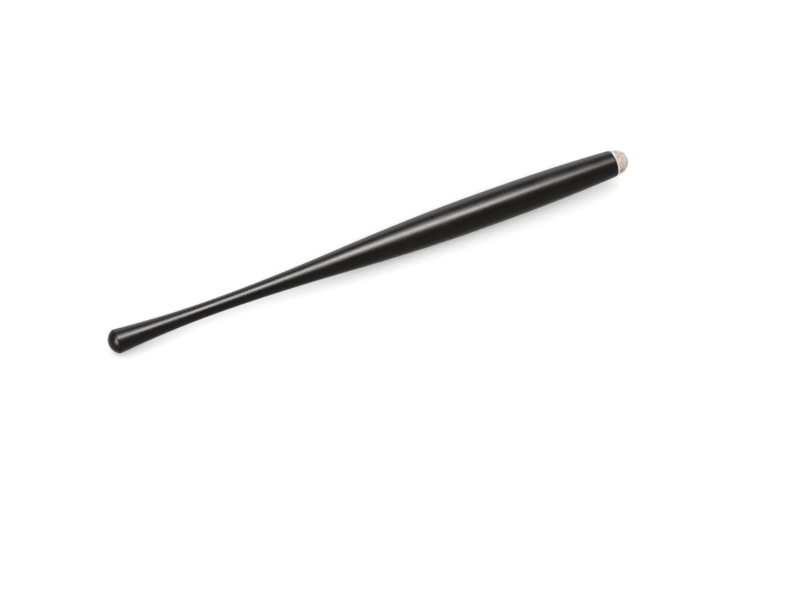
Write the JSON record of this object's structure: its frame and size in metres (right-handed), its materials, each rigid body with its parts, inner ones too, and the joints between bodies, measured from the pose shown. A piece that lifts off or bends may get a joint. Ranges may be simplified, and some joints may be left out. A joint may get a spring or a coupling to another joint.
{
  "type": "knitted-tip hand stylus",
  "caption": "Slim black waisted hand tool with a domed tail and a soft knitted dome tip that unscrews from the mouth.",
  "frame": {"origin": "on the tool's axis, at the middle of its overall length", "axes": "+X along the tool's axis towards the soft tip; the tool is round about X, with one flat of its grip facing -Z"},
  "size_m": [0.1476, 0.009, 0.009],
  "materials": {
    "black_satin_metal": "black satin lacquer over turned aluminium",
    "brass": "turned",
    "nickel_plate": "pale nickel plate over pressed steel",
    "nylon": "natural white nylon",
    "foam": "dark conductive foam rubber",
    "conductive_knit": "fine knit of silver-grey and champagne metallised yarn"
  },
  "bodies": {
    "handle": {"barrel": "black_satin_metal", "tail_plug": "black_satin_metal", "thread_insert": "brass"},
    "washer": {"lock_washer": "nylon"},
    "tip": {"tip_holder": "brass", "tip_ferrule": "nickel_plate"},
    "dome": {"tip_core": "foam", "tip_cover": "conductive_knit"}
  },
  "joints": [
    {"name": "tip_travel", "type": "slide", "parent": "handle", "child": "washer", "axis": [1, 0, 0], "range_m": [0, 0.0065]},
    {"name": "tip_turn", "type": "hinge", "parent": "washer", "child": "tip", "pos_m": [0.06928, 0, 0], "axis": [1, 0, 0], "range_deg": [0, 4680]},
    {"name": "tip_press", "type": "slide", "parent": "tip", "child": "dome", "axis": [-1, 0, 0], "range_m": [0, 0.0004], "stiffness_N_per_m": 1200}
  ],
  "couplings": [
    {"joint": "tip_turn", "follows": "tip_travel", "rad_per_m": 12566}
  ]
}
